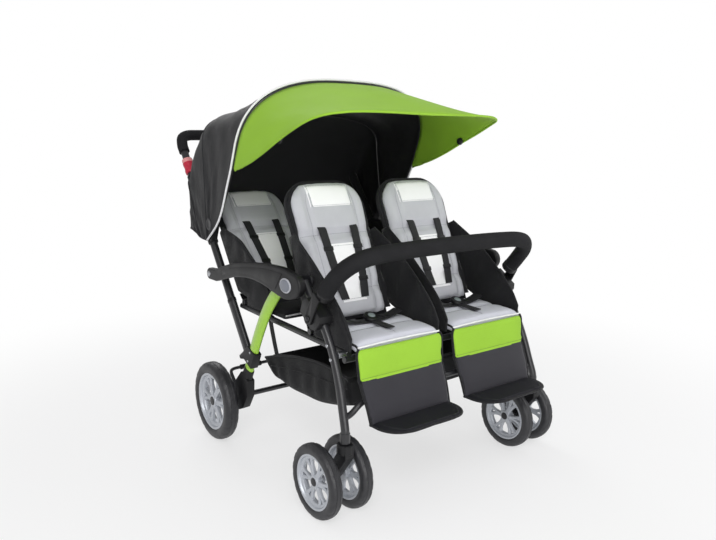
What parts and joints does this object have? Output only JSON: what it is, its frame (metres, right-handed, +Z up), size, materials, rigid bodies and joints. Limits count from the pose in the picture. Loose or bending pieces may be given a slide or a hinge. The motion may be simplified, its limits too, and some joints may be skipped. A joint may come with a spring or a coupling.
{
  "type": "quadruple stroller",
  "caption": "Folding stroller with two rows of paired reclining seats, a shared canopy with visor, bumper bar, storage basket and swivelling front wheels.",
  "frame": {"origin": "middle of the footprint's bounding box on the floor", "axes": "+Z up, the stroller's front and footrests face -Y, the handle is at +Y, +X is the pusher's left, and x = 0 is the middle plane"},
  "size_m": [0.847, 1.15, 1.13],
  "materials": {
    "tyre": "matt dark grey foam rubber",
    "rim_silver": "silver-grey moulded spokes",
    "leg_green": "lime green satin paint",
    "frame_black": "black satin paint",
    "foam_black": "black foam",
    "release_red": "red moulded grip",
    "black_cloth": "black woven polyester",
    "green_cloth": "lime green woven polyester",
    "charcoal_cloth": "charcoal woven polyester",
    "grey_cloth": "quilted light grey polyester",
    "webbing": "black nylon webbing",
    "black_plastic": "black moulded plastic"
  },
  "bodies": {
    "root": {"front_leg_left": "frame_black", "front_leg_right": "frame_black", "front_cross_tube": "frame_black", "seat_frame": "frame_black", "side_bracket_left": "frame_black", "side_bracket_right": "frame_black", "bumper_socket_left": "black_plastic", "bumper_socket_right": "black_plastic", "seat_pad_front_left": "charcoal_cloth", "seat_pad_front_right": "charcoal_cloth", "seat_pad_rear_left": "charcoal_cloth", "seat_pad_rear_right": "charcoal_cloth", "harness_front_left": "webbing", "harness_front_right": "webbing", "harness_rear_left": "webbing", "harness_rear_right": "webbing", "leg_rest_left": "green_cloth", "leg_rest_right": "green_cloth", "basket": "black_cloth"},
    "rear_legs": {"rear_leg_left": "leg_green", "rear_leg_right": "leg_green", "wheel_housing_left": "black_plastic", "wheel_housing_right": "black_plastic", "rear_cross_tube": "frame_black"},
    "rear_wheel_left": {"rear_tyre_left": "tyre", "rear_rim_left": "rim_silver"},
    "rear_wheel_right": {"rear_tyre_right": "tyre", "rear_rim_right": "rim_silver"},
    "brake": {"brake_bar": "frame_black"},
    "armrests": {"armrest_left": "black_plastic", "armrest_right": "black_plastic"},
    "handle": {"handle_tube": "frame_black", "handle_foam": "foam_black", "canopy_rear_bow": "frame_black", "canopy_cover": "black_cloth"},
    "release_grip_left": {"release_grip_left": "release_red"},
    "release_grip_right": {"release_grip_right": "release_red"},
    "canopy_front": {"canopy_front_bow": "frame_black", "visor": "green_cloth"},
    "bumper": {"bumper_bar": "foam_black"},
    "bumper_button_left": {"bumper_button_left": "black_plastic"},
    "bumper_button_right": {"bumper_button_right": "black_plastic"},
    "caster_left": {"caster_fork_left": "black_plastic"},
    "caster_right": {"caster_fork_right": "black_plastic"},
    "front_wheel_left_outer": {"front_tyre_left_outer": "tyre", "front_rim_left_outer": "rim_silver"},
    "front_wheel_left_inner": {"front_tyre_left_inner": "tyre", "front_rim_left_inner": "rim_silver"},
    "front_wheel_right_outer": {"front_tyre_right_outer": "tyre", "front_rim_right_outer": "rim_silver"},
    "front_wheel_right_inner": {"front_tyre_right_inner": "tyre", "front_rim_right_inner": "rim_silver"},
    "back_front_left": {"back_shell_front_left": "charcoal_cloth", "back_pad_front_left": "grey_cloth"},
    "back_front_right": {"back_shell_front_right": "charcoal_cloth", "back_pad_front_right": "grey_cloth"},
    "back_rear_left": {"back_shell_rear_left": "charcoal_cloth", "back_pad_rear_left": "grey_cloth"},
    "back_rear_right": {"back_shell_rear_right": "charcoal_cloth", "back_pad_rear_right": "grey_cloth"}
  },
  "joints": [
    {"name": "rear_leg_fold", "type": "hinge", "parent": "root", "child": "rear_legs", "pos_m": [0, -0.155, 0.56], "axis": [1, 0, 0], "range_deg": [-30, 0]},
    {"name": "armrest_fold", "type": "hinge", "parent": "root", "child": "armrests", "pos_m": [0, -0.221, 0.569], "axis": [1, 0, 0], "range_deg": [-26.1, 0]},
    {"name": "handle_fold", "type": "hinge", "parent": "armrests", "child": "handle", "pos_m": [0, 0.248, 0.531], "axis": [1, 0, 0], "range_deg": [-5.1, 0]},
    {"name": "canopy_fold", "type": "hinge", "parent": "handle", "child": "canopy_front", "pos_m": [0, 0.28, 0.684], "axis": [1, 0, 0], "range_deg": [-42, 0], "deforming": ["canopy_cover"]},
    {"name": "bumper_swing", "type": "hinge", "parent": "root", "child": "bumper", "pos_m": [0, -0.312, 0.497], "axis": [1, 0, 0], "range_deg": [0, 60]},
    {"name": "bumper_button_left_press", "type": "slide", "parent": "root", "child": "bumper_button_left", "axis": [-1, 0, 0], "range_m": [0, 0.003], "stiffness_N_per_m": 900, "springref_m": -0.0005},
    {"name": "release_grip_left_lift", "type": "slide", "parent": "handle", "child": "release_grip_left", "axis": [0, 0.5769, 0.8168], "range_m": [0, 0.01], "stiffness_N_per_m": 600, "springref_m": -0.002},
    {"name": "caster_left_swivel", "type": "hinge", "parent": "root", "child": "caster_left", "pos_m": [0.359, -0.453, 0], "axis": [0, 0, 1], "continuous": true},
    {"name": "rear_wheel_left_spin", "type": "hinge", "parent": "rear_legs", "child": "rear_wheel_left", "pos_m": [0, 0.203, 0.125], "axis": [1, 0, 0], "continuous": true},
    {"name": "front_wheel_left_outer_spin", "type": "hinge", "parent": "caster_left", "child": "front_wheel_left_outer", "pos_m": [0, -0.397, 0.097], "axis": [1, 0, 0], "continuous": true},
    {"name": "front_wheel_left_inner_spin", "type": "hinge", "parent": "caster_left", "child": "front_wheel_left_inner", "pos_m": [0, -0.397, 0.097], "axis": [1, 0, 0], "continuous": true},
    {"name": "bumper_button_right_press", "type": "slide", "parent": "root", "child": "bumper_button_right", "axis": [1, 0, 0], "range_m": [0, 0.003], "stiffness_N_per_m": 900, "springref_m": -0.0005},
    {"name": "release_grip_right_lift", "type": "slide", "parent": "handle", "child": "release_grip_right", "axis": [0, 0.5769, 0.8168], "range_m": [0, 0.01], "stiffness_N_per_m": 600, "springref_m": -0.002},
    {"name": "caster_right_swivel", "type": "hinge", "parent": "root", "child": "caster_right", "pos_m": [-0.359, -0.453, 0], "axis": [0, 0, 1], "continuous": true},
    {"name": "rear_wheel_right_spin", "type": "hinge", "parent": "rear_legs", "child": "rear_wheel_right", "pos_m": [0, 0.203, 0.125], "axis": [1, 0, 0], "continuous": true},
    {"name": "front_wheel_right_outer_spin", "type": "hinge", "parent": "caster_right", "child": "front_wheel_right_outer", "pos_m": [0, -0.397, 0.097], "axis": [1, 0, 0], "continuous": true},
    {"name": "front_wheel_right_inner_spin", "type": "hinge", "parent": "caster_right", "child": "front_wheel_right_inner", "pos_m": [0, -0.397, 0.097], "axis": [1, 0, 0], "continuous": true},
    {"name": "brake_press", "type": "hinge", "parent": "rear_legs", "child": "brake", "pos_m": [0, 0.165, 0.15], "axis": [1, 0, 0], "range_deg": [-15, 0]},
    {"name": "back_front_left_recline", "type": "hinge", "parent": "root", "child": "back_front_left", "pos_m": [0, -0.235, 0.437], "axis": [-1, 0, 0], "range_deg": [-8, 10]},
    {"name": "back_front_right_recline", "type": "hinge", "parent": "root", "child": "back_front_right", "pos_m": [0, -0.235, 0.437], "axis": [-1, 0, 0], "range_deg": [-8, 10]},
    {"name": "back_rear_left_recline", "type": "hinge", "parent": "root", "child": "back_rear_left", "pos_m": [0, 0.14, 0.45], "axis": [-1, 0, 0], "range_deg": [-18, 2]},
    {"name": "back_rear_right_recline", "type": "hinge", "parent": "root", "child": "back_rear_right", "pos_m": [0, 0.14, 0.45], "axis": [-1, 0, 0], "range_deg": [-18, 2]}
  ],
  "couplings": [
    {"joint": "armrest_fold", "follows": "rear_leg_fold", "ratio": 0.87},
    {"joint": "handle_fold", "follows": "rear_leg_fold", "ratio": 0.17}
  ]
}
